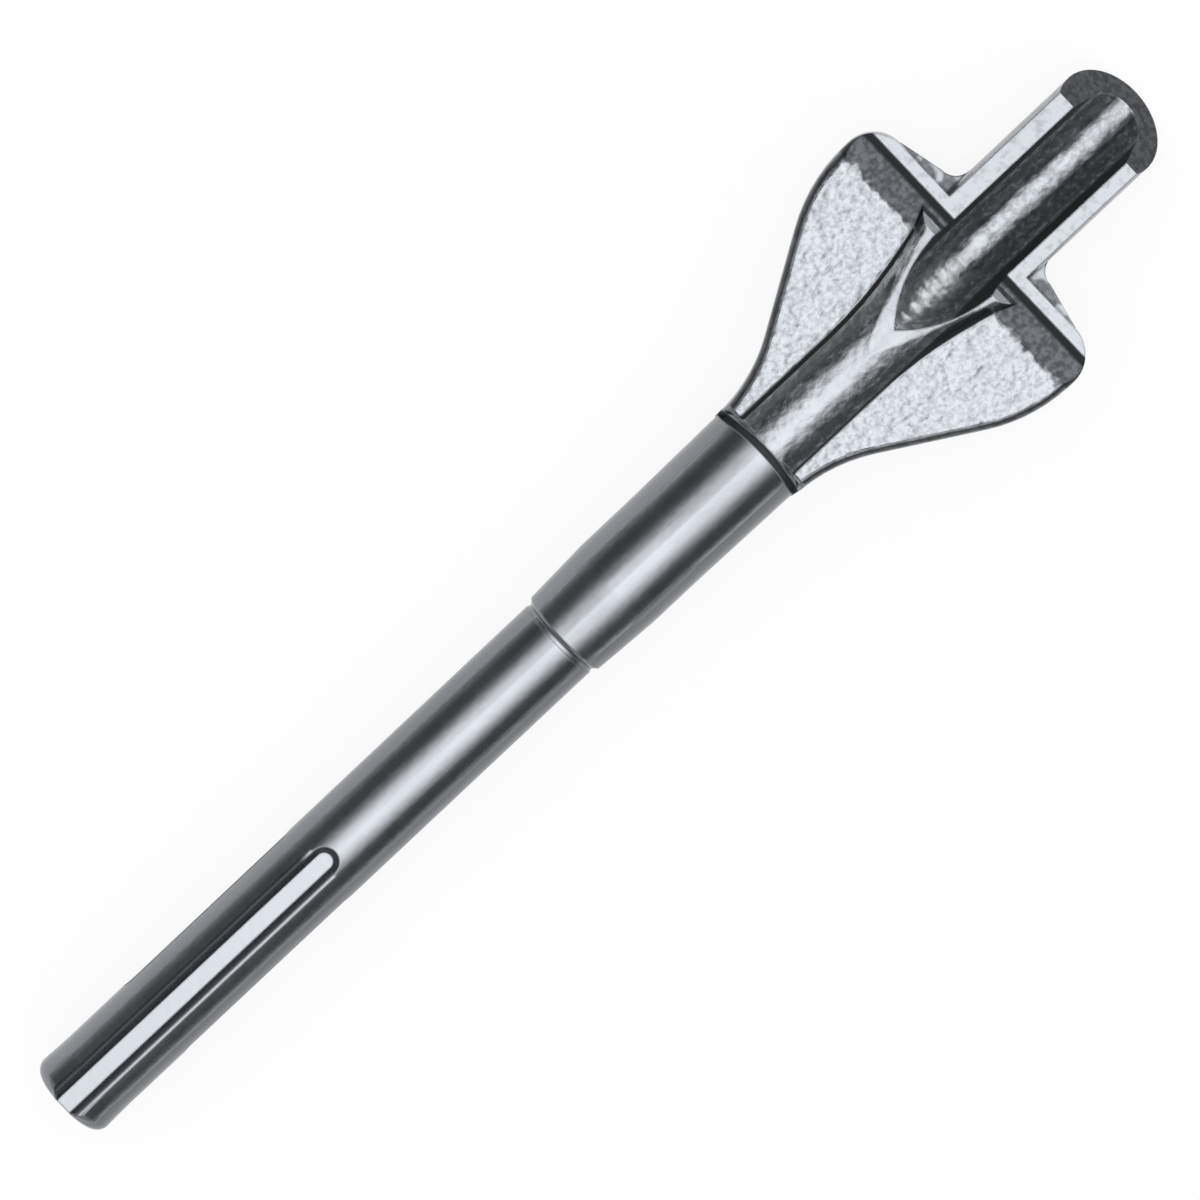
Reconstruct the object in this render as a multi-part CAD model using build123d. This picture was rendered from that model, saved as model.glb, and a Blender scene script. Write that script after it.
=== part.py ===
"""Wing chisel: a forged rotary-hammer chisel with a slotted 18 mm shank and a winged gouge.

The whole tool is one forged and machined bar. Millimetres. X runs along the tool's axis from
the striking face at X = 0 to the tip, and Z points out of the gouge's trough.
"""
from build123d import *
from math import asin, cos, radians, sin, sqrt, tan
import os

# Overall
tool_length = 292.0
shank_radius = 9.0
stock_radius = 10.4
gouge_radius = 11.7

# Striking end: a rounded rim, hammered out a little beyond the shank
end_round = 2.6
end_swell = 0.2
end_swell_length = 9.0

# Step from the machined shank to the thicker stock
step_x = 136.2
step_groove_depth = 0.25
step_groove_width = 0.7
step_rise = 0.7
step_taper_length = 14.0

# Head start: a curved groove round the stock where the forging begins
head_start_x = 192.3
head_groove_width = 1.3
head_groove_depth = 0.45
head_groove_bow = 30.0
head_swell = 0.35
head_swell_length = 28.0

# Drive slots, open at the striking end, and closed locking grooves at the sides
slot_length = 74.2
slot_floor_width = 3.55
slot_depth = 2.5
slot_draft = 32.0
slot_lip_round = 0.8
rear_slot_angle = 140.0
lock_start_x = 25.0
lock_end_x = 70.0
lock_width = 3.4
lock_depth = 1.1

# Wing plate, seen from above: hollow root, straight flank, full shoulder, round corner
wing_half_span = 32.1
wing_root_x = 188.5
wing_root_ramp = 4.1
wing_root_half_width = 10.9
wing_root_radius = 35.0
wing_flank_angle = 31.0
wing_shoulder_radius = 34.0
wing_widest_x = 243.8
wing_corner_radius = 7.1
wing_front_x = 252.3
wing_top_z = 7.0
wing_bottom_z = -1.5
wing_edge_round = 2.0
wing_bottom_round = 1.2

# Rib: the stock carried on over the wings, flaring round the trough's run-out
rib_flare_start_x = 217.0
rib_flare_end_x = 252.0
rib_flare_rise = 5.4
gouge_start_x = 232.0
ridge_end_x = 247.7
crest_lead = 4.0
crest_end_z = 9.6
crest_round = 1.0

rib_fillet = 1.0

# Milled flat of the wings' front edge and the gouge's rims, with the bevel behind it
rim_z = 4.1
mill_start_x = 250.1
mill_step_height = 1.1
mill_step_run = 0.9
bevel_start_x = 243.5
ridge_cut_angle = 60.0

# Trough
trough_floor_z = -7.45
trough_rim_half_width = 7.45
trough_draft = 12.0
trough_offset = -0.45
run_out_angle = 28.0
run_out_bend = 12.0
run_out_full_length = 5.0
nose_x = 227.0
nose_z = 10.1

# Corners between the wings and the gouge
gusset_lead = 2.2
gusset_radius = 3.8
gusset_drop = 0.6
gusset_draft = 28.0

# Tip
rim_end_x = 281.8

# How far the cutting shapes reach past the solid, and how near counts as level
overcut = 40.0
level_tolerance = 0.01


def turned_bar():
    """Shank, stock and the round body of the head, turned about the tool's axis."""
    swell_radius = shank_radius + end_swell
    groove_x = step_x + step_groove_width
    shoulder_x = groove_x + step_rise + step_groove_depth
    with BuildSketch(Plane.XZ) as profile:
        with BuildLine():
            Line((0, 0), (0, swell_radius - end_round))
            rim_centre = (end_round, swell_radius - end_round)
            CenterArc(rim_centre, end_round, 90, 90)
            Polyline(
                (end_round, swell_radius),
                (end_swell_length, shank_radius),
                (step_x - step_groove_depth, shank_radius),
                (step_x, shank_radius - step_groove_depth),
                (groove_x, shank_radius - step_groove_depth),
                (shoulder_x, shank_radius + step_rise),
                (shoulder_x + step_taper_length, stock_radius),
                (head_start_x - head_swell_length, stock_radius),
                (head_start_x, stock_radius + head_swell),
                (head_start_x + head_groove_width, stock_radius),
                (gouge_start_x, stock_radius),
                (wing_front_x, gouge_radius),
                (tool_length, gouge_radius),
                (tool_length, 0),
                (0, 0),
            )
        make_face()
    return revolve(profile.sketch, Axis.X)


def rib():
    """Upper half of the head's round body, flaring outwards to hold the trough's run-out."""
    with BuildSketch(Plane.XZ) as profile:
        with BuildLine():
            start = (rib_flare_start_x, stock_radius)
            end = (rib_flare_end_x, stock_radius + rib_flare_rise)
            TangentArc(start, end, tangent=(1, 0))
            Polyline(end, (rib_flare_end_x, 0), (rib_flare_start_x, 0), start)
        make_face()
    flare = revolve(profile.sketch, Axis.X)
    return split(flare, Plane.XY, keep=Keep.TOP)


def blend_rib(body):
    """Fillet the seams where the rib's two sides stand up from the wings."""
    highest = wing_top_z + level_tolerance
    lowest = wing_top_z - level_tolerance
    tall = body.faces().filter_by(lambda face: face.bounding_box().max.Z > highest)
    edges = ShapeList([edge for face in tall for edge in face.edges()])
    seams = edges.filter_by(lambda edge: edge.bounding_box().max.Z < highest)
    seams = seams.filter_by(lambda edge: edge.bounding_box().min.Z > lowest)
    return fillet(seams, rib_fillet)


def round_crest(body):
    """Round the long curved edge of the rib's flat crest."""
    crest = body.faces().filter_by(GeomType.PLANE).sort_by(lambda face: face.center().Z)
    crest = crest.filter_by(lambda face: face.center().X < bevel_start_x)[-1]
    return fillet(crest.edges().sort_by(lambda edge: edge.length)[-1], crest_round)


def side_rim(face):
    """Edges of a plate's face, apart from the one that lies inside the stock."""
    return face.edges().filter_by(lambda edge: edge.center().X > wing_root_x + 1)


def wing_outline():
    """The wings seen from above: hollow root, straight flank, shoulder and round corner."""
    angle = radians(wing_flank_angle)
    shoulder = (wing_widest_x, wing_half_span)
    flank_end_x = wing_widest_x - wing_shoulder_radius * sin(angle)
    flank_end_y = wing_half_span - wing_shoulder_radius * (1 - cos(angle))
    flank_start_y = wing_root_half_width + wing_root_radius * (1 - cos(angle))
    flank_start_x = flank_end_x - (flank_end_y - flank_start_y) / tan(angle)
    hollow_x = flank_start_x - wing_root_radius * sin(angle)
    back_x = wing_root_x - overcut / 2
    flank_start = (flank_start_x, flank_start_y)
    flank_end = (flank_end_x, flank_end_y)
    corner_start = (wing_front_x - wing_corner_radius, wing_half_span)
    corner_end = (wing_front_x, wing_half_span - wing_corner_radius)
    with BuildSketch() as outline:
        with BuildLine():
            Line((back_x, wing_root_half_width), (hollow_x, wing_root_half_width))
            RadiusArc((hollow_x, wing_root_half_width), flank_start, -wing_root_radius)
            Line(flank_start, flank_end)
            RadiusArc(flank_end, shoulder, wing_shoulder_radius)
            Line(shoulder, corner_start)
            RadiusArc(corner_start, corner_end, wing_corner_radius)
            Polyline(
                corner_end,
                (wing_front_x, 0),
                (back_x, 0),
                (back_x, wing_root_half_width),
            )
        make_face()
        mirror(about=Plane.XZ)
        with Locations((wing_root_x - overcut / 2, 0)):
            Rectangle(overcut, overcut, mode=Mode.SUBTRACT)
    return outline.sketch


def wing_plate():
    """Both wings as one plate with rounded edges, through the body of the tool."""
    plate = extrude(wing_outline(), wing_top_z - wing_bottom_z, dir=(0, 0, 1))
    plate = Pos(0, 0, wing_bottom_z) * plate
    plate = fillet(side_rim(plate.faces().sort_by(Axis.Z)[-1]), wing_edge_round)
    plate = fillet(side_rim(plate.faces().sort_by(Axis.Z)[0]), wing_bottom_round)
    return plate - root_cut()


def root_cut():
    """Wedge that makes the wings rise out of the stock on a ramp."""
    outline = Polyline(
        (wing_root_x, wing_bottom_z),
        (wing_root_x + wing_root_ramp, wing_top_z),
        (wing_root_x + wing_root_ramp, overcut),
        (wing_root_x - overcut, overcut),
        (wing_root_x - overcut, wing_bottom_z),
        (wing_root_x, wing_bottom_z),
    )
    return extrude(Plane.XZ * make_face(outline), overcut, both=True)


def gussets():
    """Low corners with sloping sides that brace the wings' front edge against the gouge."""
    foot_x = wing_front_x + gusset_lead
    arc_start = (foot_x, gouge_radius + gusset_radius)
    arc_end = (foot_x + gusset_radius, gouge_radius)
    corner_y = wing_half_span - wing_corner_radius
    back_x = wing_front_x - wing_corner_radius
    with BuildSketch() as outline:
        with BuildLine():
            RadiusArc(arc_start, arc_end, -gusset_radius)
            Polyline(
                arc_end,
                (foot_x + gusset_radius, 0),
                (back_x, 0),
                (back_x, corner_y),
                (wing_front_x, corner_y),
                arc_start,
            )
        make_face()
        mirror(about=Plane.XZ)
    height = rim_z - gusset_drop - wing_bottom_z
    body = extrude(outline.sketch, height, dir=(0, 0, 1), taper=gusset_draft)
    return Pos(0, 0, wing_bottom_z) * body


def crest_cut():
    """Everything above the flat crest of the rib, which drops a little towards the wings' front."""
    flare_length = rib_flare_end_x - rib_flare_start_x
    flare_arc = (flare_length**2 + rib_flare_rise**2) / (2 * rib_flare_rise)
    start_z = stock_radius + flare_arc - sqrt(flare_arc**2 - crest_lead**2)
    start_x = rib_flare_start_x + crest_lead
    outline = Polyline(
        (start_x, start_z),
        (bevel_start_x, crest_end_z),
        (bevel_start_x + overcut, crest_end_z),
        (bevel_start_x + overcut, overcut),
        (start_x, overcut),
        (start_x, start_z),
    )
    return extrude(Plane.XZ * make_face(outline), overcut, both=True)


def sloping_cut(start):
    """Everything above the bevel, the step and the flat of the rims, from a point on the bevel.
    Its back face leans over that point."""
    lean = (overcut - start[1]) / tan(radians(ridge_cut_angle))
    outline = Polyline(
        (start[0] - lean, overcut),
        start,
        (mill_start_x - mill_step_run, rim_z + mill_step_height),
        (mill_start_x, rim_z),
        (tool_length + overcut, rim_z),
        (tool_length + overcut, overcut),
        (start[0] - lean, overcut),
    )
    return extrude(Plane.XZ * make_face(outline), overcut, both=True)


def mill_cut():
    """Material taken off the head's top: the wings' bevel, the ridge's end and the flats."""
    bevel_end_x = mill_start_x - mill_step_run
    bevel_drop = wing_top_z - rim_z - mill_step_height
    ridge_share = (ridge_end_x - bevel_start_x) / (bevel_end_x - bevel_start_x)
    ridge_end = (ridge_end_x, wing_top_z - bevel_drop * ridge_share)
    beside_ridge = sloping_cut((bevel_start_x, wing_top_z)) - rib()
    return beside_ridge + sloping_cut(ridge_end)


def trough_radius():
    """Radius of the trough's floor, whose sloping walls meet the rims at their inner edges."""
    slope = tan(radians(trough_draft))
    return (trough_rim_half_width - (rim_z - trough_floor_z) * slope) / (1 - slope)


def trough_section(height):
    """Section of the trough across the tool: a round floor with sloping walls above it."""
    radius = trough_radius()
    centre_z = trough_floor_z + radius
    top_y = radius + (height - centre_z) * tan(radians(trough_draft))
    with BuildSketch(Plane.YZ) as half_section:
        with BuildLine():
            RadiusArc((0, trough_floor_z), (radius, centre_z), -radius)
            Polyline((radius, centre_z), (top_y, height), (0, height), (0, trough_floor_z))
        make_face()
    return half_section.sketch + mirror(half_section.sketch, Plane.XZ)


def trough_cut():
    """The trough: a straight channel, a bend, and a pointed run-out up to the rib's crest."""
    angle = radians(run_out_angle)
    radius = trough_radius()
    bend_radius = run_out_bend - trough_floor_z - radius
    bend_end_z = run_out_bend - bend_radius * cos(angle)
    run_out_length = (nose_z - bend_end_z) / sin(angle)
    bend_end_x = nose_x + run_out_length * cos(angle)
    bend_x = bend_end_x + bend_radius * sin(angle)

    section = trough_section(run_out_bend)
    channel = extrude(Pos(bend_x, 0, 0) * section, tool_length + overcut - bend_x, dir=(1, 0, 0))
    bend_axis = Axis((bend_x, 0, run_out_bend), (0, 1, 0))
    bend = revolve(Pos(bend_x, 0, 0) * section, bend_axis, run_out_angle)

    along = (-cos(angle), 0, sin(angle))
    floor_plane = Plane(
        origin=(bend_end_x, 0, bend_end_z), x_dir=along, z_dir=(sin(angle), 0, cos(angle))
    )
    arch_length = run_out_length - run_out_full_length
    arch_radius = (radius**2 + arch_length**2) / (2 * radius)
    with BuildSketch() as half_arch:
        with BuildLine():
            RadiusArc((run_out_full_length, radius), (run_out_length, 0), arch_radius)
            Polyline((run_out_length, 0), (0, 0), (0, radius), (run_out_full_length, radius))
        make_face()
    arch = half_arch.sketch + mirror(half_arch.sketch, Plane.XZ)
    point = floor_plane * revolve(half_arch.sketch, Axis.X)
    opening = floor_plane * extrude(arch, run_out_bend, dir=(0, 0, 1), taper=-trough_draft)
    return Pos(0, trough_offset, 0) * (channel + bend + point + opening)


def tip_cut():
    """Everything in front of the sloping face that the tip is ground to."""
    outline = Polyline(
        (rim_end_x, rim_z),
        (tool_length, -gouge_radius),
        (tool_length + overcut, -gouge_radius),
        (tool_length + overcut, rim_z),
        (rim_end_x, rim_z),
    )
    return extrude(Plane.XZ * make_face(outline), overcut, both=True)


def drive_slot():
    """Cutter of one drive slot: a flat floor, sloping walls and rounded lips, round at its end."""
    floor_z = shank_radius - slot_depth
    half_floor = slot_floor_width / 2
    draft = radians(slot_draft)
    lip_reach = shank_radius - slot_lip_round
    lip_offset = slot_lip_round + half_floor * cos(draft) - floor_z * sin(draft)
    lip_angle = draft + asin(lip_offset / lip_reach)
    lip_centre = (lip_reach * sin(lip_angle), lip_reach * cos(lip_angle))
    wall_end_y = lip_centre[0] - slot_lip_round * cos(draft)
    wall_end_z = lip_centre[1] + slot_lip_round * sin(draft)
    lip_end = (shank_radius * sin(lip_angle), shank_radius * cos(lip_angle))
    with BuildSketch(Plane.YZ) as half_section:
        with BuildLine():
            Line((0, floor_z), (half_floor, floor_z))
            Line((half_floor, floor_z), (wall_end_y, wall_end_z))
            RadiusArc((wall_end_y, wall_end_z), lip_end, slot_lip_round)
            Polyline(lip_end, (lip_end[0], overcut), (0, overcut), (0, floor_z))
        make_face()
    section = half_section.sketch + mirror(half_section.sketch, Plane.XZ)
    run = slot_length - half_floor
    straight = Pos(-overcut, 0, 0) * extrude(section, run + overcut, dir=(1, 0, 0))
    with BuildSketch(Plane.XZ) as end_section:
        with BuildLine():
            wall_run = (overcut - floor_z) * tan(draft)
            Polyline(
                (0, floor_z),
                (half_floor, floor_z),
                (half_floor + wall_run, overcut),
                (0, overcut),
                (0, floor_z),
            )
        make_face()
    end = Pos(run, 0, 0) * revolve(end_section.sketch, Axis.Z)
    return straight, end


def lock_groove():
    """Cutter of one closed locking groove, round at both ends."""
    outline = SlotOverall(lock_end_x - lock_start_x, lock_width)
    cutter = extrude(outline, overcut / 4, dir=(0, 0, 1), taper=-slot_draft)
    return Pos((lock_start_x + lock_end_x) / 2, 0, shank_radius - lock_depth) * cutter


def head_groove():
    """Curved groove round the stock, bowed towards the tip on the top and the underside. It
    stops where the wings' ramps stand in its way."""
    centre_x = head_start_x - head_groove_bow
    ring = Circle(head_groove_bow + head_groove_width / 2)
    ring -= Circle(head_groove_bow - head_groove_width / 2)
    width = 2 * (stock_radius + head_swell)
    ring &= Pos(head_groove_bow, 0) * Rectangle(head_groove_bow, width)
    band = Pos(centre_x, 0, 0) * extrude(ring, overcut, both=True)
    core_radius = stock_radius - head_groove_depth
    core = Pos(head_start_x, 0, 0) * Rot(0, 90, 0) * Cylinder(core_radius, overcut)
    return band - core - wing_plate()


def shank_cuts():
    """Cutters of the shank's three drive slots and two locking grooves, round the axis."""
    cutters = []
    for angle in (0, rear_slot_angle, -rear_slot_angle):
        cutters += [Rot(angle, 0, 0) * piece for piece in drive_slot()]
    for angle in (90, -90):
        cutters.append(Rot(angle, 0, 0) * lock_groove())
    return cutters


def chisel():
    body = blend_rib(turned_bar() + rib() + wing_plate())
    body += gussets()
    body = round_crest(body - crest_cut())
    body -= mill_cut()
    body -= trough_cut()
    body -= tip_cut()
    body -= head_groove()
    for cutter in shank_cuts():
        body -= cutter
    return body


shape = chisel()
print(shape.volume, len(shape.solids()), shape.bounding_box(), shape.is_valid)
os.makedirs("parts", exist_ok=True)
export_step(shape, "parts/chisel.step")
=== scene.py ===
from math import cos, pi, radians, sin
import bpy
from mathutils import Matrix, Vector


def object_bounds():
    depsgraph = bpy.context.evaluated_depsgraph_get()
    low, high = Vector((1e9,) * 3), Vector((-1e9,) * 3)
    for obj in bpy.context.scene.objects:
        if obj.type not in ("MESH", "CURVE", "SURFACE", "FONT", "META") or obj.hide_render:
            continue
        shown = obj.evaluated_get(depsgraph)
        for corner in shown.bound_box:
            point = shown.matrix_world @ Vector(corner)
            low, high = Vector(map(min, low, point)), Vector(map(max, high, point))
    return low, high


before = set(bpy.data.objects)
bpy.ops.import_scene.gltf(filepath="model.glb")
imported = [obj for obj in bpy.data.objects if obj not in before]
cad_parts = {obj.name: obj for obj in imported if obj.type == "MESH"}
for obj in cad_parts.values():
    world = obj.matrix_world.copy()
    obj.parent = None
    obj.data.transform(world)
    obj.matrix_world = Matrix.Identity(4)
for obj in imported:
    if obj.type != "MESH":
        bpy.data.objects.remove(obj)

from types import SimpleNamespace

import bpy
import numpy as np
from bpy.props import FloatProperty, FloatVectorProperty, PointerProperty
from mathutils import Matrix, Vector

bl_info = {
    "name": "Wing chisel",
    "version": (1, 0, 0),
    "blender": (4, 5, 0),
    "location": "View3D > Sidebar > Wing chisel",
    "description": "Finishes a forged wing chisel and sets it in a plain studio",
    "category": "Object",
}

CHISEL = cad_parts["chisel"]
CAD_BOX = [list(corner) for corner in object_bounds()]

# Stage, in metres
FLOOR_Z = CAD_BOX[0][2] - 0.0001
FLOOR_RADIUS = 14.0
LAMP_Y = -0.1

# Places on the tool in millimetres: x from the striking end, y across it, z up from its axis
SLOT_FLOOR_Z = 6.5
SLOT_END_X = 75.0
GROOVE_X = 192.3
GROOVE_RADIUS = 30.0
HEAD_X = 193.0
WING_Z = 7.0
CREST_LOW_Z = 9.4
CREST_HIGH_Z = 10.3
BEVEL_X = 243.4
BEVEL_FOOT_Z = 4.3
MILLED_X = 250.0
MILLED_Z = 4.1
TROUGH_Y = -0.45
NOSE_X = 226.9
STOP_MARK_X = 253.2
TIP_X = 281.8

# Chatter of the cutter where it left the trough: where it starts, and radians per millimetre
CHATTER_X = 229.9
CHATTER_RATE = 2.42


# Meshes worked out as arrays

def surface(name, points):
    """A mesh from a grid of points, rows by columns: each four neighbours make one face, and
    the last column joins the first."""
    rows, columns = points.shape[:2]
    row = np.arange(rows - 1)[:, None]
    column = np.arange(columns)[None, :]
    after = (column + 1) % columns
    low = row * columns
    high = low + columns
    quads = np.stack([low + column, low + after, high + after, high + column], axis=-1)
    mesh = bpy.data.meshes.new(name)
    mesh.from_pydata(points.reshape(-1, 3).tolist(), [], quads.reshape(-1, 4).tolist())
    mesh.update()
    old = bpy.data.objects.get(name)
    if old:
        bpy.data.objects.remove(old)
    made = bpy.data.objects.new(name, mesh)
    bpy.context.scene.collection.objects.link(made)
    return made


def disc(centre, radius, z, columns=96):
    """A flat disc: the distance from its middle runs from a hair's breadth to the radius, and
    the angle all round."""
    angle = np.linspace(0, 2 * np.pi, columns, endpoint=False)
    reach = np.array([0.0001, radius])[:, None]
    x = centre[0] + reach * np.cos(angle)
    y = centre[1] + reach * np.sin(angle)
    return np.stack([x, y, np.full_like(x, z)], axis=-1)


def dome(centre, radius, z, rows=24, columns=96):
    """A half sphere open at the bottom: the angle over the floor runs from 0 to a hair under
    a right angle, and the angle round it all the way."""
    angle = np.linspace(0, 2 * np.pi, columns, endpoint=False)
    over = np.linspace(0, np.pi / 2 - 0.0001, rows)[:, None]
    x = centre[0] + radius * np.cos(over) * np.cos(angle)
    y = centre[1] + radius * np.cos(over) * np.sin(angle)
    return np.stack([x, y, z + radius * np.sin(over) + 0 * x], axis=-1)


# Node helpers

class Nodes:
    """Adds nodes to a material's tree in short calls, each returning the node's output."""

    def __init__(self, material):
        self.tree = material.node_tree
        self.tree.nodes.clear()

    def add(self, kind, **settings):
        node = self.tree.nodes.new(kind)
        for key, value in settings.items():
            setattr(node, key, value)
        return node

    def put(self, socket, value):
        if isinstance(value, bpy.types.NodeSocket):
            self.tree.links.new(value, socket)
        else:
            socket.default_value = value

    def math(self, operation, first, second=0.0):
        node = self.add("ShaderNodeMath", operation=operation)
        self.put(node.inputs[0], first)
        self.put(node.inputs[1], second)
        return node.outputs[0]

    def chain(self, operation, values):
        result = values[0]
        for value in values[1:]:
            result = self.math(operation, result, value)
        return result

    def total(self, *terms):
        return self.chain("ADD", terms)

    def product(self, *factors):
        return self.chain("MULTIPLY", factors)

    def highest(self, *values):
        return self.chain("MAXIMUM", values)

    def minus(self, first, second):
        return self.math("SUBTRACT", first, second)

    def rest(self, share):
        return self.math("SUBTRACT", 1.0, share)

    def ramp(self, value, low, high, start=0.0, end=1.0):
        """Runs smoothly from start to end while value goes from low to high."""
        node = self.add("ShaderNodeMapRange", interpolation_type="SMOOTHSTEP")
        self.put(node.inputs["Value"], value)
        self.put(node.inputs["From Min"], low)
        self.put(node.inputs["From Max"], high)
        self.put(node.inputs["To Min"], start)
        self.put(node.inputs["To Max"], end)
        return node.outputs["Result"]

    def fall(self, value, low, high):
        """Runs smoothly from 1 to 0 while value goes from low to high."""
        return self.ramp(value, low, high, 1.0, 0.0)

    def between(self, value, low, high, soft):
        """1 while value lies between low and high, 0 outside, with soft edges."""
        rise = self.ramp(value, low - soft, low + soft)
        return self.product(rise, self.fall(value, high - soft, high + soft))

    def near(self, value, middle, reach, soft):
        """1 while value lies within reach of the middle, 0 outside, with soft edges."""
        return self.between(value, middle - reach, middle + reach, soft)

    def parts(self, vector):
        """The x, y and z of a vector."""
        node = self.add("ShaderNodeSeparateXYZ")
        self.put(node.inputs[0], vector)
        return node.outputs

    def stretch(self, vector, scale):
        node = self.add("ShaderNodeMapping")
        self.put(node.inputs["Vector"], vector)
        self.put(node.inputs["Scale"], scale)
        return node.outputs["Vector"]

    def noise(self, vector, scale, detail=2.0, rough=0.5):
        node = self.add("ShaderNodeTexNoise")
        self.put(node.inputs["Vector"], vector)
        self.put(node.inputs["Scale"], scale)
        self.put(node.inputs["Detail"], detail)
        self.put(node.inputs["Roughness"], rough)
        return node.outputs["Fac"]

    def mix(self, share, first, second, kind="RGBA"):
        node = self.add("ShaderNodeMix", data_type=kind)
        self.put(node.inputs["Factor"], share)
        self.put(node.inputs["A"], first)
        self.put(node.inputs["B"], second)
        return node.outputs["Result"]

    def blend(self, share, first, second):
        return self.mix(share, first, second, kind="FLOAT")


def rgba(colour):
    return (*colour, 1)


def fresh_material(name):
    old = bpy.data.materials.get(name)
    if old:
        bpy.data.materials.remove(old)
    material = bpy.data.materials.new(name)
    material.use_nodes = True
    return material


# Steel: each share is 1 where its finish, painted shade or painted highlight lies and 0 elsewhere

def shared_inputs(n):
    """What all finishes read: place in millimetres, the way a face looks, the distance from the
    trough's middle line, two noises, and the shares of the head and of level faces."""
    at = SimpleNamespace()
    at.mm = n.stretch(n.add("ShaderNodeTexCoord").outputs["Object"], (1000, 1000, 1000))
    at.x, at.y, at.z = n.parts(at.mm)
    normal = n.add("ShaderNodeNewGeometry").outputs["True Normal"]
    at.forward, at.sideways, at.up = n.parts(normal)
    at.from_middle = n.minus(at.y, TROUGH_Y)
    at.side = n.math("ABSOLUTE", at.from_middle)
    at.wobble = n.noise(at.mm, 0.45)
    at.uneven = n.product(n.minus(at.wobble, 0.5), 2.4)
    at.grain = n.noise(n.stretch(at.mm, (0.04, 1.2, 1.2)), 1.0, 4.0, 0.6)
    at.head = n.ramp(at.x, HEAD_X - 0.4, HEAD_X + 0.4)
    at.level = n.ramp(at.up, 0.96, 0.99)
    return at


def flat_faces(n, at):
    """Shares of the wings' blasted webs, of the milled flats, alone and with the rib's flat
    crest, of the top slot's floor, of the wings' bevels, which start along a wavering line, and
    of the bevelled face at the tip."""
    at.web = n.product(at.head, at.level, n.near(at.z, WING_Z, 0.05, 0.02))
    milled = n.product(n.near(at.z, MILLED_Z, 0.05, 0.02), n.ramp(at.x, MILLED_X - 0.2, MILLED_X))
    at.milled = milled
    crest = n.product(at.level, n.between(at.z, CREST_LOW_Z, CREST_HIGH_Z, 0.05))
    at.flats = n.highest(milled, n.product(crest, n.ramp(at.side, 2.0, 3.0)))
    slot_floor = n.product(at.level, n.near(at.z, SLOT_FLOOR_Z, 0.1, 0.04))
    at.slot_floor = n.product(slot_floor, n.fall(at.x, SLOT_END_X - 0.5, SLOT_END_X))
    start = n.ramp(n.total(at.x, n.product(at.uneven, 1.6)), BEVEL_X - 1.4, BEVEL_X)
    at.bevel = n.product(start, n.between(at.z, BEVEL_FOOT_Z, WING_Z + 0.05, 0.05))
    at.tip_face = n.product(
        n.ramp(at.x, TIP_X - 0.2, TIP_X + 0.2), n.between(at.forward, 0.8, 0.9, 0.03))


def rounded_edges(n, at):
    """Shares of the wings' rounded outline, and of the low corner pieces in front of them,
    whose scale has come off in places."""
    rounding = n.product(at.head, n.fall(at.up, 0.9, 0.985), n.fall(at.z, WING_Z, WING_Z + 0.1))
    at.edge = n.product(rounding, n.ramp(at.up, 0.3, 0.6))
    gusset = n.product(
        n.between(at.x, 250.6, 262.0, 0.3), n.between(at.side, 9.0, 40.0, 0.5),
        n.fall(at.z, MILLED_Z - 0.3, MILLED_Z - 0.1), n.ramp(at.up, 0.1, 0.4))
    at.gusset = n.product(gusset, n.ramp(n.noise(at.mm, 0.3, 1.0), 0.45, 0.6, 0.75, 0.1))


def trough_faces(n, at):
    """Shares of the trough, its walls, and the bright bare steel where it runs out, which also
    carries a painted highlight along the floor's middle. Its faces look towards its own middle
    line, and those of the rib's flanks look away. The wave is the cutter's chatter, and its
    valleys get painted shade, stronger up the slope."""
    turned = n.product(at.from_middle, at.sideways)
    turned = n.total(turned, n.ramp(at.side, 6.0, 7.0, 0.0, 1.5))
    hollow = n.product(
        n.fall(turned, 0.3, 0.8), n.fall(at.side, 8.3, 8.5),
        n.ramp(at.z, -7.9, -7.6), n.rest(at.tip_face))
    below_nose = n.fall(n.total(at.z, at.forward), 9.3, 9.6)
    plain = n.product(
        hollow, below_nose, n.ramp(at.x, NOSE_X - 0.9, NOSE_X + 0.1), n.rest(at.milled))
    run_out = n.product(
        hollow, n.ramp(at.forward, 0.2, 0.3), n.between(at.x, NOSE_X + 0.6, 247.0, 1.0))
    at.trough = n.highest(plain, run_out)
    wavering = n.total(at.side, at.uneven)
    at.wall = n.product(at.trough, n.ramp(wavering, 2.4, 4.2))
    at.high_wall = n.product(at.trough, n.ramp(at.side, 5.9, 6.5))
    # Bright bare steel where the trough runs out, with a painted highlight along the floor's
    # middle.
    at.cut = n.product(at.trough, n.fall(wavering, 2.4, 4.4), n.fall(at.x, 241.5, 245.6))
    at.wave = n.math("SINE", n.product(n.minus(at.x, CHATTER_X), CHATTER_RATE))
    # Painted shade in the chatter's valleys, fading out towards the tip.
    at.valley = n.product(n.fall(at.wave, -0.6, 0.6), n.fall(at.x, 242.0, 252.0), at.trough, 0.5)


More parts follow.
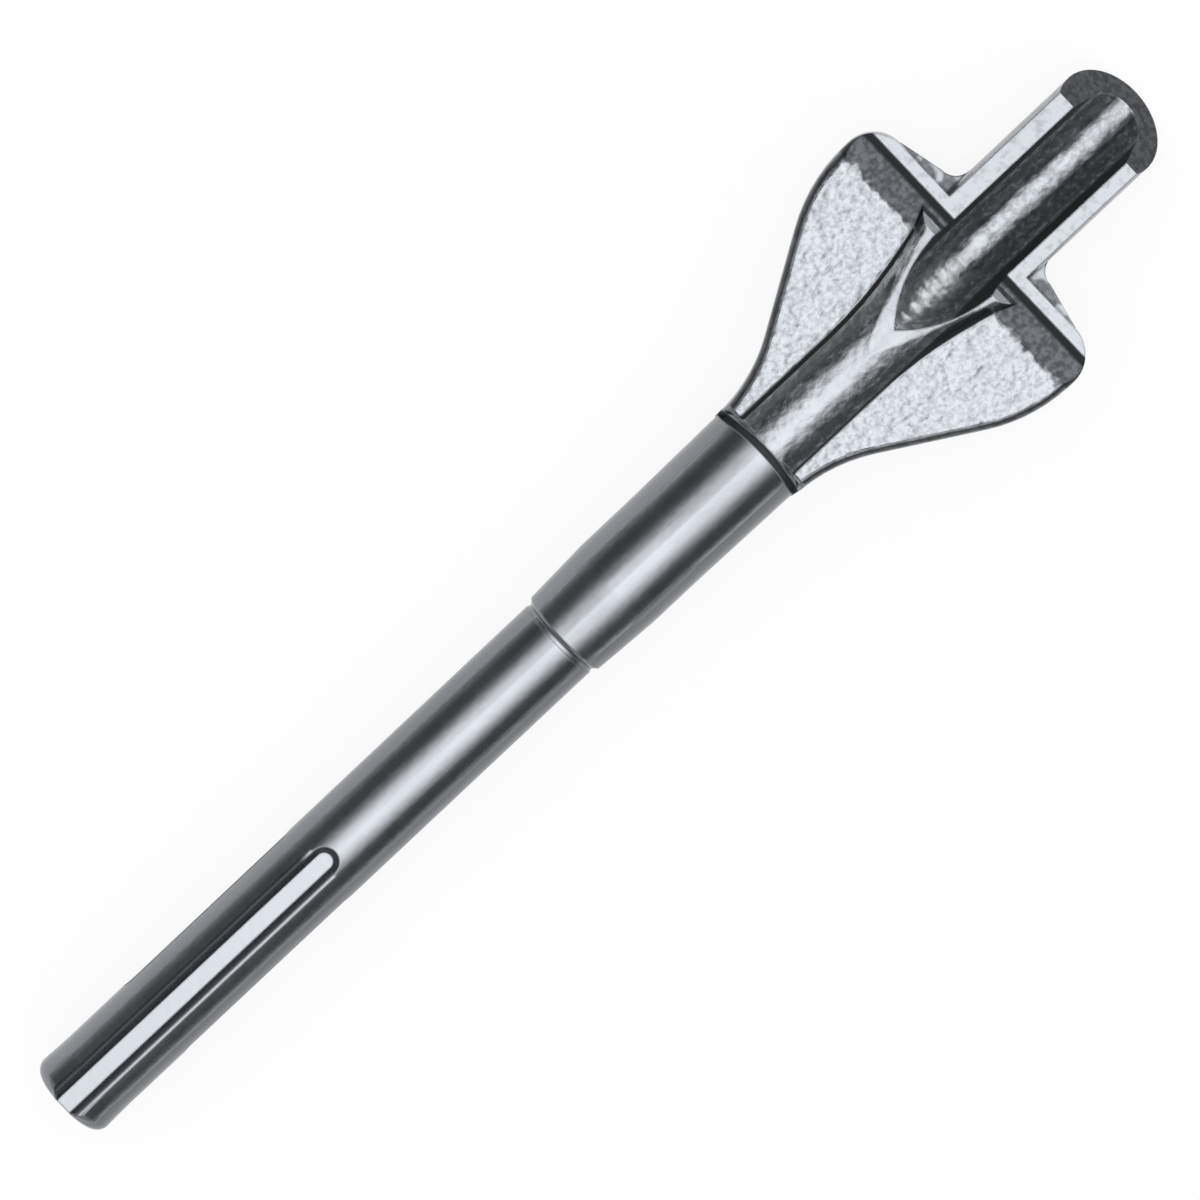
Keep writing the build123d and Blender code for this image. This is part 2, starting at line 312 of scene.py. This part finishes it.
def rib_marks(n, at):
    """Shares of the seam between rib and wing, painted shade on the rib's lower flank, a painted
    highlight on its upper flank, painted shade on its sides, and a line of painted shade along the
    outside of the trough's upper rim. That rim's inner edge is a parabola that opens from the
    nose."""
    before_bevel = n.fall(at.x, BEVEL_X - 0.4, BEVEL_X + 0.2)
    flank = n.product(at.head, n.ramp(at.side, 6.5, 7.0), before_bevel)
    rib = n.product(at.head, n.ramp(at.z, WING_Z + 0.3, WING_Z + 0.6), before_bevel)
    at.seam = n.product(flank, n.between(at.z, WING_Z + 0.12, WING_Z + 0.85, 0.08))
    # Painted shade on the rib's lower flank, laid in with the scale's colour.
    at.lee = n.product(flank, n.between(at.z, WING_Z + 0.3, 9.4, 0.25), n.fall(at.y, -6.0, -5.0))
    # Painted highlight on the rib's upper flank, in the bright steel's colour.
    at.lit = n.product(rib, n.between(at.z, WING_Z + 0.3, 10.0, 0.25), n.ramp(at.y, 3.8, 4.8))
    # Painted shade on the rib's rounded sides, stronger towards +y.
    at.rib_side = n.product(
        rib, n.between(at.up, 0.9, 0.965, 0.025), n.ramp(at.y, -1.0, 1.0, 0.3, 0.5))
    # Painted shade in a line along the outside of the trough's upper rim.
    past_nose = n.minus(at.x, NOSE_X)
    rim = n.minus(n.product(past_nose, 1.006), n.product(past_nose, past_nose, 0.031))
    outside = n.between(n.minus(at.from_middle, rim), 1.7, 3.2, 0.35)
    at.rim_line = n.product(
        outside, n.between(at.x, 231.0, 244.0, 1.5), n.ramp(at.z, 8.6, 9.2), 0.75)


def turned_marks(n, at):
    """Shares of the groove where the forging starts, which follows a circle bowed towards the
    tip, of painted shade on the top slot's upper lip, and of painted shade on the bar's sides."""
    bow = n.math("SQRT", n.minus(GROOVE_RADIUS ** 2, n.product(at.y, at.y)))
    from_groove = n.math("ABSOLUTE", n.minus(at.x, n.total(bow, GROOVE_X - GROOVE_RADIUS)))
    at.groove = n.ramp(from_groove, 0.5, 1.05, 0.85, 0.0)
    # Painted shade on the top slot's upper lip, which darkens its highlight.
    at.slot_lip = n.product(
        n.fall(at.x, 69.0, 72.5), n.between(at.y, 2.3, 4.2, 0.3), n.ramp(at.z, 7.9, 8.3))
    # Painted shade on the sides of the shank and stock, stronger on faces that face -y.
    at.bar_side = n.product(
        n.fall(at.head, 0.0, 1.0), n.fall(at.up, 0.62, 0.8),
        n.ramp(at.sideways, -0.5, 0.0, 0.55, 0.3))


def dark_and_black(n, at):
    """Shares of the scale, which is patchy, of all that is darkened with it, with painted shade in
    the head's corners and on the rib, bar, slot lip, rim and chatter's valleys among it, and of
    the black in the deepest corners."""
    # Painted shade where the head's faces close in, taken from ambient occlusion.
    corner = n.add("ShaderNodeAmbientOcclusion", samples=8, only_local=True)
    corner.inputs["Distance"].default_value = 0.0025
    closed = n.product(at.head, n.fall(corner.outputs["AO"], 0.4, 0.8))
    patches = n.ramp(n.noise(at.mm, 0.75), 0.38, 0.62)
    scale = n.highest(at.bevel, at.tip_face, n.product(at.edge, 0.75), at.gusset)
    # The scale's share also carries the painted shade on the rib's lower flank.
    at.scale = n.highest(
        n.product(scale, n.blend(patches, 0.88, 1.0)),
        n.product(at.wall, n.blend(patches, 0.0, 0.5)), n.product(at.lee, 0.95))
    specks = n.ramp(n.noise(at.mm, 1.1, 2.0, 0.6), 0.35, 0.6, 0.28, 0.0)
    streaks = n.ramp(n.noise(at.mm, 0.6, 2.0, 0.6), 0.45, 0.75, 0.0, 0.3)
    # Real scale, specks and streaks, together with painted shade in corners, in the chatter's
    # valleys, on the slot's upper lip, the bar's sides, the rib's sides and outside the trough's
    # rim.
    at.dark = n.highest(
        at.scale, n.product(closed, 0.25), n.product(at.trough, patches, 0.3),
        n.product(at.web, specks), n.product(at.flats, streaks),
        at.valley, at.slot_lip, at.bar_side, at.rib_side, at.rim_line)
    shoulder = n.product(
        at.bevel, n.ramp(at.x, 248.0, 248.9), n.ramp(at.z, BEVEL_FOOT_Z, BEVEL_FOOT_Z + 0.1))
    at.black = n.highest(at.high_wall, at.seam, at.groove, shoulder)


def steel_colour(n, at, finish):
    """Stained steel, with the other colours laid over it one after the other, among them painted
    highlights, painted glint spots and painted shade.
    """
    stain = n.noise(n.stretch(at.mm, (0.35, 1.0, 1.0)), 0.12, 3.0, 0.6)
    speckle = n.ramp(n.noise(at.mm, 0.8, 1.0), 0.35, 0.65)
    clean = n.highest(n.product(at.web, speckle, n.rest(at.bevel)), at.slot_floor)
    # Painted glint spots: bright steel on the trough's walls.
    glints = n.product(at.wall, n.ramp(n.noise(at.mm, 0.9, 1.0), 0.53, 0.65))
    # Bright steel: bare steel where the trough runs out with its painted highlight, the painted
    # highlight on the rib's upper flank, and the painted glint spots.
    bare = n.highest(at.cut, n.product(at.lit, 0.55), n.product(glints, 0.5))
    colour = n.mix(stain, rgba(finish.steel_dark), rgba(finish.steel_light))
    colour = n.mix(clean, colour, rgba(finish.clean_steel))
    colour = n.mix(bare, colour, rgba(finish.cut_steel))
    colour = n.mix(at.flats, colour, rgba(finish.steel_dark))
    # Scale colour laid over real scale and over all painted shade.
    colour = n.mix(at.dark, colour, rgba(finish.scale_colour))
    return n.mix(at.black, colour, rgba(finish.corner_colour))


def steel_roughness(n, at, finish):
    """Grain and haze on the ground bar, a wavering roughness on the head, and each finish's own
    roughness laid over them."""
    haze = n.noise(at.mm, 0.2, 3.0, 0.6)
    ground = n.total(
        n.product(at.grain, 0.08), n.product(haze, 0.10), finish.shank_roughness - 0.09)
    forged = n.blend(at.wobble, finish.head_roughness - 0.05, finish.head_roughness + 0.05)
    rough = n.blend(at.head, ground, forged)
    rough = n.blend(n.highest(at.milled, at.slot_floor), rough, finish.milled_roughness)
    rough = n.blend(at.web, rough, finish.web_roughness)
    rough = n.blend(at.scale, rough, finish.scale_roughness)
    rough = n.blend(at.wall, rough, finish.wall_roughness)
    return n.blend(at.black, rough, finish.corner_roughness)


def steel_relief(n, at):
    """Heights in millimetres: grain on the bar, dents, pits and swells on the head, chatter and
    one curved stop mark on the trough's floor, and the mill's fine lines on the flats."""
    dents = n.noise(at.mm, 0.65, 0.0, 0.4)
    pits = n.noise(at.mm, 1.4, 1.0)
    swell = n.noise(at.mm, 0.2, 1.0)
    forged = n.total(
        n.product(dents, n.blend(at.web, 0.13, 0.28)), n.product(pits, 0.05),
        n.product(swell, 0.3))
    scaled = n.total(n.product(dents, 0.2), n.product(swell, 0.2))
    forged = n.blend(n.highest(at.bevel, at.tip_face), forged, scaled)
    depth = n.product(
        n.ramp(at.x, 240.0, 247.0, 0.11, 0.02), at.trough, n.fall(at.x, 246.0, 250.0))
    stop = n.minus(at.x, n.total(n.product(at.side, at.side, 0.05), STOP_MARK_X))
    mark = n.product(n.fall(n.math("ABSOLUTE", stop), 0.1, 0.9), at.trough)
    forged = n.total(forged, n.product(at.wave, depth), n.product(mark, 0.08))
    ground = n.total(n.product(at.grain, 0.006), n.product(dents, 0.02))
    relief = n.blend(at.head, ground, forged)
    milling = n.noise(n.stretch(at.mm, (1.2, 0.08, 1.0)), 1.0)
    return n.blend(at.milled, relief, n.product(milling, 0.03))


def forged_steel(finish):
    """Steel whose finish changes along the tool: a ground shank and stock, a shot-blasted head
    with dents, milled flats, dark scale left on bevels, edges and trough walls, near black in the
    deepest corners, and painted shade and highlights on the rib, bar, slot lip and trough."""
    material = fresh_material("forged_steel")
    n = Nodes(material)
    at = shared_inputs(n)
    for find in (flat_faces, rounded_edges, trough_faces, rib_marks, turned_marks, dark_and_black):
        find(n, at)

    soften = n.add("ShaderNodeBevel", samples=4)
    soften.inputs["Radius"].default_value = 0.0006
    bump = n.add("ShaderNodeBump")
    n.put(bump.inputs["Height"], steel_relief(n, at))
    n.put(bump.inputs["Normal"], soften.outputs["Normal"])
    bump.inputs["Strength"].default_value = 1.0
    bump.inputs["Distance"].default_value = 0.001

    steel = n.add("ShaderNodeBsdfPrincipled")
    steel.inputs["Metallic"].default_value = 1.0
    n.put(steel.inputs["Base Color"], steel_colour(n, at, finish))
    n.put(steel.inputs["Roughness"], steel_roughness(n, at, finish))
    n.put(steel.inputs["Normal"], bump.outputs["Normal"])
    out = n.add("ShaderNodeOutputMaterial")
    n.put(out.inputs["Surface"], steel.outputs["BSDF"])
    return material


# Stage materials

def floor_paint(studio):
    """Matt paint, most of it shown as plain white where the camera or the steel sees it, so that
    the tool's shadow stays faint."""
    material = fresh_material("floor_paint")
    n = Nodes(material)
    paint = n.add("ShaderNodeBsdfDiffuse")
    paint.inputs["Color"].default_value = rgba(studio.floor_colour)
    white = n.add("ShaderNodeEmission")
    white.inputs["Strength"].default_value = 1.0
    ray = n.add("ShaderNodeLightPath").outputs
    seen = n.highest(ray["Is Camera Ray"], ray["Is Glossy Ray"], ray["Is Transmission Ray"])
    mix = n.add("ShaderNodeMixShader")
    n.put(mix.inputs["Fac"], n.product(seen, studio.floor_glow))
    n.put(mix.inputs[1], paint.outputs["BSDF"])
    n.put(mix.inputs[2], white.outputs["Emission"])
    out = n.add("ShaderNodeOutputMaterial")
    n.put(out.inputs["Surface"], mix.outputs["Shader"])
    return material


def tent_cloth(studio):
    """The tent that the steel reflects: a bright broad strip overhead along the tool, fading to
    dark cloth at its sides, with a little light at the bottom of the far side and at both ends.
    Across and along are shares of the half circle from one side or end to the other."""
    material = fresh_material("tent_cloth")
    n = Nodes(material)
    shift = n.add("ShaderNodeMapping")
    n.put(shift.inputs["Vector"], n.add("ShaderNodeTexCoord").outputs["Object"])
    shift.inputs["Location"].default_value = (-studio.aim_x, 0, -FLOOR_Z)
    out_x, out_y, over = [
        n.math("DIVIDE", part, studio.tent_radius) for part in n.parts(shift.outputs["Vector"])]
    across = n.minus(0.5, n.math("DIVIDE", n.math("ARCSINE", out_y), pi))
    along = n.total(n.math("DIVIDE", n.math("ARCSINE", out_x), pi), 0.5)
    strip = n.product(n.ramp(across, 0.26, 0.54), n.fall(across, 0.555, 0.825))
    ends = n.product(n.ramp(along, 0.2, 0.475), n.ramp(along, 0.8, 0.95, 1.0, 0.85))
    far_side = n.product(n.fall(over, 0.0, 0.4), n.ramp(out_y, -0.4, 0.2))
    both_ends = n.ramp(n.math("ABSOLUTE", out_x), 0.2, 0.5)
    light = n.add("ShaderNodeEmission")
    n.put(light.inputs["Strength"], n.total(
        n.product(strip, ends, studio.tent_radiance), n.product(far_side, studio.tent_glow),
        n.product(both_ends, studio.tent_fill), studio.tent_dark))
    out = n.add("ShaderNodeOutputMaterial")
    n.put(out.inputs["Surface"], light.outputs["Emission"])
    return material


# Settings

class SteelSettings(bpy.types.PropertyGroup):
    steel_dark: FloatVectorProperty(
        name="Darker steel", description="Colour of stained steel and of the milled flats",
        default=(0.28, 0.292, 0.312), subtype="COLOR", min=0, max=1,
    )
    steel_light: FloatVectorProperty(
        name="Lighter steel", description="Colour of the steel where it has no stain",
        default=(0.36, 0.375, 0.4), subtype="COLOR", min=0, max=1,
    )
    clean_steel: FloatVectorProperty(
        name="Clean steel", description="Colour of the blasted wings and the top slot's floor",
        default=(0.31, 0.325, 0.349), subtype="COLOR", min=0, max=1,
    )
    # Also the colour of the painted highlights on the rib and along the trough's floor, and of the
    # painted glint spots on its walls.
    cut_steel: FloatVectorProperty(
        name="Cut steel", description="Colour of the bright steel where the trough runs out",
        default=(0.85, 0.87, 0.9), subtype="COLOR", min=0, max=1,
    )
    # Also the colour of all painted shade on the steel.
    scale_colour: FloatVectorProperty(
        name="Scale", description="Colour of the dark scale on the bevels and trough walls",
        default=(0.042, 0.0445, 0.049), subtype="COLOR", min=0, max=1,
    )
    # Near black laid in the deepest corners, along the rib's seam, in the groove and on the
    # trough's high walls.
    corner_colour: FloatVectorProperty(
        name="Corner", description="Colour of the soot in the deepest corners and grooves",
        default=(0.045, 0.047, 0.05), subtype="COLOR", min=0, max=1,
    )
    shank_roughness: FloatProperty(
        name="Shank roughness", description="Roughness of the ground shank and stock",
        default=0.25, min=0.05, max=1, subtype="FACTOR",
    )
    head_roughness: FloatProperty(
        name="Head roughness", description="Roughness of the shot-blasted head",
        default=0.27, min=0.06, max=1, subtype="FACTOR",
    )
    web_roughness: FloatProperty(
        name="Wing roughness", description="Roughness of the wings' blasted faces",
        default=0.22, min=0.05, max=1, subtype="FACTOR",
    )
    milled_roughness: FloatProperty(
        name="Milled roughness", description="Roughness of the milled flats",
        default=0.18, min=0.05, max=1, subtype="FACTOR",
    )
    scale_roughness: FloatProperty(
        name="Scale roughness", description="Roughness of the dark scale",
        default=0.38, min=0.05, max=1, subtype="FACTOR",
    )
    wall_roughness: FloatProperty(
        name="Wall roughness", description="Roughness of the trough's walls",
        default=0.6, min=0.05, max=1, subtype="FACTOR",
    )
    # Roughness of the near black in the deepest corners.
    corner_roughness: FloatProperty(
        name="Corner roughness", description="Roughness of the soot in the deepest corners",
        default=0.9, min=0.05, max=1, subtype="FACTOR",
    )


class StudioSettings(bpy.types.PropertyGroup):
    tilt: FloatProperty(
        name="Tilt", description="Angle between the camera and a straight look down",
        default=radians(7.5), subtype="ANGLE",
    )
    roll: FloatProperty(
        name="Roll", description="Turn of the camera about the tool's axis",
        default=radians(3.0), subtype="ANGLE",
    )
    rise: FloatProperty(
        name="Rise", description="Angle of the tool above the picture's lower edge",
        default=radians(43.21), subtype="ANGLE",
    )
    lens: FloatProperty(
        name="Lens", description="Focal length of the camera in millimetres", default=240.0,
    )
    distance: FloatProperty(
        name="Distance", description="From the camera to the tool's axis",
        default=1.5782, unit="LENGTH",
    )
    aim_x: FloatProperty(
        name="Aim", description="Place on the tool's axis at the middle of the picture",
        default=0.14731, unit="LENGTH",
    )
    tent_radius: FloatProperty(
        name="Tent radius", description="Radius of the tent that the steel reflects",
        default=2.6, unit="LENGTH",
    )
    tent_radiance: FloatProperty(
        name="Strip brightness",
        description="Brightness of the tent's overhead strip, where 1 is white",
        default=2.6, min=0,
    )
    tent_glow: FloatProperty(
        name="Side brightness", description="Brightness at the bottom of the tent's far side",
        default=0.32, min=0,
    )
    tent_fill: FloatProperty(
        name="End brightness", description="Brightness added at both ends of the tent",
        default=0.25, min=0,
    )
    tent_dark: FloatProperty(
        name="Dark cloth", description="Brightness of the rest of the tent",
        default=0.08, min=0,
    )
    lamp_power: FloatProperty(
        name="Lamp", description="Power of the overhead lamp", default=3.0, unit="POWER", min=0,
    )
    lamp_size: FloatProperty(
        name="Lamp size", description="Width of the overhead lamp", default=1.2, unit="LENGTH",
    )
    lamp_height: FloatProperty(
        name="Lamp height", description="Height of the overhead lamp over the tool's axis",
        default=1.5, unit="LENGTH",
    )
    room_grey: FloatProperty(
        name="Room brightness", description="Brightness of the room that lights the floor",
        default=1.0, min=0, max=1, subtype="FACTOR",
    )
    floor_colour: FloatVectorProperty(
        name="Floor", description="Colour of the floor", default=(0.95, 0.95, 0.95),
        subtype="COLOR", min=0, max=1,
    )
    floor_glow: FloatProperty(
        name="Floor glow", description="Share of plain white in the floor, which weakens shadows",
        default=0.85, min=0, max=1, subtype="FACTOR",
    )


# Operators

class CHISEL_OT_finish(bpy.types.Operator):
    """Give the chisel its forged, ground and milled steel"""
    bl_idname = "wing_chisel.finish"
    bl_label = "Finish the chisel"

    def execute(self, context):
        material = forged_steel(context.scene.wing_chisel_steel)
        CHISEL.data.materials.clear()
        CHISEL.data.materials.append(material)
        return {"FINISHED"}


class CHISEL_OT_stage(bpy.types.Operator):
    """Make the floor, the tent that the steel reflects, the lamp and the room"""
    bl_idname = "wing_chisel.stage"
    bl_label = "Set the stage"

    def execute(self, context):
        studio = context.scene.wing_chisel_studio
        middle = (studio.aim_x, 0.0)

        floor = surface("floor", disc(middle, FLOOR_RADIUS, FLOOR_Z))
        floor.data.materials.append(floor_paint(studio))

        tent = surface("tent", dome(middle, studio.tent_radius, FLOOR_Z))
        tent.data.materials.append(tent_cloth(studio))
        tent.visible_camera = False
        tent.visible_diffuse = False
        tent.visible_shadow = False

        light = bpy.data.lights.new("overhead_lamp", "AREA")
        light.shape = "DISK"
        light.size = studio.lamp_size
        light.energy = studio.lamp_power
        lamp = bpy.data.objects.new("overhead_lamp", light)
        lamp.location = (studio.aim_x, LAMP_Y, studio.lamp_height)
        lamp.visible_camera = False
        lamp.visible_glossy = False
        context.scene.collection.objects.link(lamp)

        world = bpy.data.worlds.new("studio")
        world.use_nodes = True
        grey = studio.room_grey
        background = world.node_tree.nodes["Background"]
        background.inputs["Color"].default_value = (grey, grey, grey, 1)
        context.scene.world = world
        context.scene.view_settings.view_transform = "Standard"
        return {"FINISHED"}


class CHISEL_OT_camera(bpy.types.Operator):
    """Place the camera as the photograph was taken"""
    bl_idname = "wing_chisel.camera"
    bl_label = "Place the camera"

    def execute(self, context):
        studio = context.scene.wing_chisel_studio
        tilt, roll, rise = studio.tilt, studio.roll, studio.rise
        back = Vector((sin(tilt), cos(tilt) * sin(roll), cos(tilt) * cos(roll)))
        along = (Vector((1, 0, 0)) - back * back.x).normalized()
        across = back.cross(along)
        right = along * cos(rise) - across * sin(rise)
        up = along * sin(rise) + across * cos(rise)
        data = bpy.data.cameras.new("photo_camera")
        data.lens = studio.lens
        data.sensor_width = 36.0
        data.clip_start = 0.05
        data.clip_end = 60.0
        camera = bpy.data.objects.new("photo_camera", data)
        turn = Matrix((right, up, back)).transposed().to_4x4()
        place = Vector((studio.aim_x, 0, 0)) + back * studio.distance
        camera.matrix_world = Matrix.Translation(place) @ turn
        context.scene.collection.objects.link(camera)
        context.scene.camera = camera
        return {"FINISHED"}


class CHISEL_PT_panel(bpy.types.Panel):
    bl_label = "Wing chisel"
    bl_idname = "CHISEL_PT_panel"
    bl_space_type = "VIEW_3D"
    bl_region_type = "UI"
    bl_category = "Wing chisel"

    def draw(self, context):
        for group in (context.scene.wing_chisel_steel, context.scene.wing_chisel_studio):
            for key in group.__annotations__:
                self.layout.prop(group, key)
        for operator in STEPS:
            self.layout.operator(operator.bl_idname)


STEPS = (CHISEL_OT_finish, CHISEL_OT_stage, CHISEL_OT_camera)
CLASSES = (SteelSettings, StudioSettings, *STEPS, CHISEL_PT_panel)


def register():
    for item in CLASSES:
        bpy.utils.register_class(item)
    bpy.types.Scene.wing_chisel_steel = PointerProperty(type=SteelSettings)
    bpy.types.Scene.wing_chisel_studio = PointerProperty(type=StudioSettings)


def unregister():
    del bpy.types.Scene.wing_chisel_studio
    del bpy.types.Scene.wing_chisel_steel
    for item in reversed(CLASSES):
        bpy.utils.unregister_class(item)


def main():
    register()
    bpy.ops.wing_chisel.finish()
    bpy.ops.wing_chisel.stage()
    bpy.ops.wing_chisel.camera()


if __name__ == "__main__":
    main()
